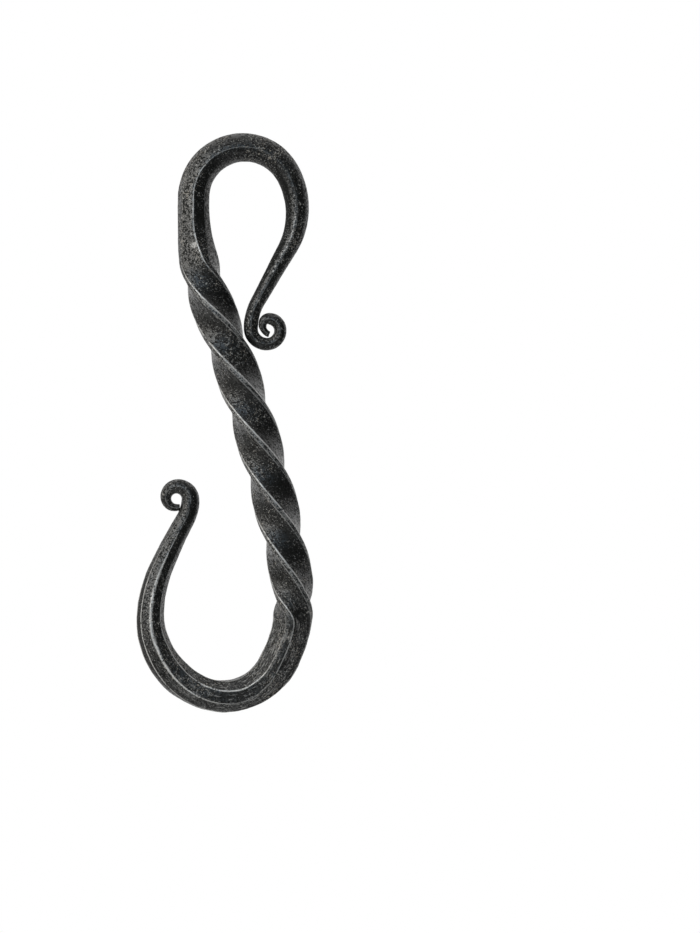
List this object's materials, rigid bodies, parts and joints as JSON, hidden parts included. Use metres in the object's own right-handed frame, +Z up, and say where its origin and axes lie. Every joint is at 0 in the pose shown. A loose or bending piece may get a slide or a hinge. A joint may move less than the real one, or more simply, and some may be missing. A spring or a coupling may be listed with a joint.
{
  "type": "kettle hook",
  "caption": "Hand-forged S hook of twisted square bar: a closed teardrop hanging loop above, a deep open bowl below, its ends drawn out to scrolls.",
  "frame": {"origin": "the point the hook hangs from: the top of the upper loop's inside, on the bar's centre plane", "axes": "+Z up as the hook hangs, -Y towards its front, +X to the right as seen from the front, where the tail's scroll is; the bar bends in the XZ plane"},
  "size_m": [0.059, 0.0148, 0.193],
  "materials": {
    "blackened_steel": "hand-forged mild steel, oil-blackened forge scale, dull with brighter worn corners"
  },
  "bodies": {
    "root": {"kettle_hook": "blackened_steel"}
  },
  "joints": []
}
